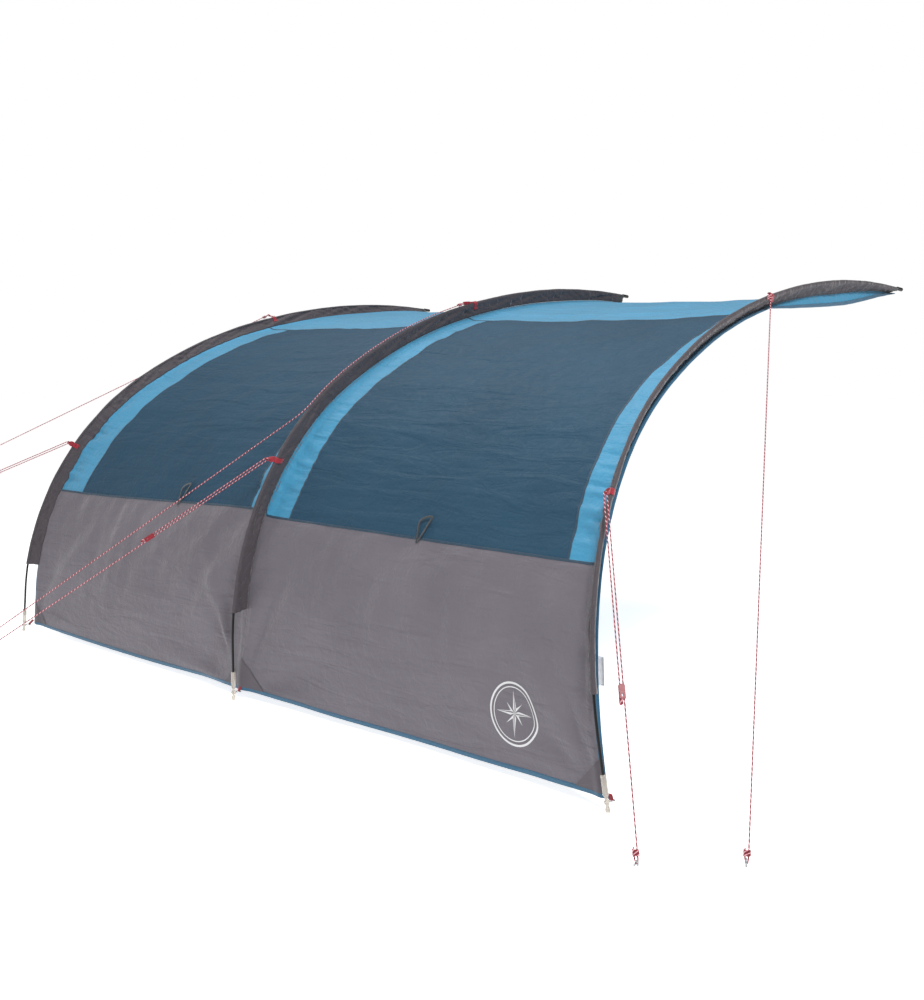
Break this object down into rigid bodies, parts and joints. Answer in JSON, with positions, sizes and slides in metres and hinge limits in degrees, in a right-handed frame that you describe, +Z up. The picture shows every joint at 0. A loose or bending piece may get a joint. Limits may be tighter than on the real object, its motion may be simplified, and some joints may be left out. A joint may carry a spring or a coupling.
{
  "type": "tunnel tent",
  "caption": "Open-sided tunnel shelter: three bent pole hoops in sleeves, free at their far ends, a sewn wall and roof, guy lines with sliding runners, and pegs.",
  "frame": {"origin": "on the ground, under the middle of the shelter, half way between its end hoops and 1.8 m in from its middle foot", "axes": "+X along the tunnel towards the open front hoop, -Y the closed wall, +Y the open side, +Z up"},
  "size_m": [6.1323, 3.9419, 2.0086],
  "materials": {
    "black_pole": "satin pultruded fibreglass",
    "sleeve_cloth": "dark grey coated polyester",
    "steel_ferrule": "brushed steel tube",
    "clear_plastic": "translucent moulded plastic",
    "steel_ring": "zinc plated wire",
    "red_webbing": "woven red webbing",
    "black_plastic": "moulded black plastic",
    "blue_tape": "woven blue binding tape",
    "grey_cloth": "grey coated polyester",
    "navy_cloth": "navy coated polyester",
    "light_blue_cloth": "light blue coated polyester",
    "black_webbing": "black webbing",
    "guy_cord": "red braided cord with light and dark flecks",
    "runner_plastic": "moulded red plastic",
    "steel_peg": "zinc plated steel wire"
  },
  "bodies": {
    "tent": {"rear_pole_wall": "black_pole", "rear_pole_shoulder": "black_pole", "rear_pole_roof": "black_pole", "rear_pole_far": "black_pole", "rear_sleeve": "sleeve_cloth", "mid_pole_wall": "black_pole", "mid_pole_shoulder": "black_pole", "mid_pole_roof": "black_pole", "mid_pole_far": "black_pole", "mid_sleeve": "sleeve_cloth", "front_pole_wall": "black_pole", "front_pole_shoulder": "black_pole", "front_pole_roof": "black_pole", "front_pole_far": "black_pole", "front_sleeve": "sleeve_cloth", "pole_ferrules": "steel_ferrule", "feet": "clear_plastic", "foot_rings": "steel_ring", "foot_webbings": "red_webbing", "rear_tip_cap": "black_plastic", "mid_tip_cap": "black_plastic", "front_tip_cap": "black_plastic", "rear_edge_binding": "blue_tape", "rear_bay_wall": "grey_cloth", "rear_bay_window": "navy_cloth", "rear_bay_border_rear": "light_blue_cloth", "rear_bay_border_front": "light_blue_cloth", "rear_bay_roof": "light_blue_cloth", "rear_bay_hem": "blue_tape", "rear_bay_far_hem": "blue_tape", "front_edge_binding": "blue_tape", "front_bay_wall": "grey_cloth", "front_bay_window": "navy_cloth", "front_bay_border_rear": "light_blue_cloth", "front_bay_border_front": "light_blue_cloth", "front_bay_roof": "light_blue_cloth", "front_bay_hem": "blue_tape", "front_bay_far_hem": "blue_tape", "window_loops": "black_webbing", "guy_tabs": "red_webbing", "rear_lower_line": "guy_cord", "rear_upper_line": "guy_cord", "mid_lower_line": "guy_cord", "mid_upper_line": "guy_cord", "front_lower_line": "guy_cord", "front_upper_line": "guy_cord", "guy_knots": "guy_cord", "pegs": "steel_peg"},
    "rear_runner_body": {"rear_runner": "runner_plastic"},
    "mid_runner_body": {"mid_runner": "runner_plastic"},
    "front_runner_body": {"front_runner": "runner_plastic"}
  },
  "joints": [
    {"name": "rear_runner_slide", "type": "slide", "parent": "tent", "child": "rear_runner_body", "axis": [0.8402, 0.4103, 0.3547], "range_m": [0, 0.25]},
    {"name": "mid_runner_slide", "type": "slide", "parent": "tent", "child": "mid_runner_body", "axis": [0.6368, 0.5375, 0.5528], "range_m": [0, 0.25]},
    {"name": "front_runner_slide", "type": "slide", "parent": "tent", "child": "front_runner_body", "axis": [-0.4163, 0.4224, 0.8052], "range_m": [0, 0.25]}
  ]
}
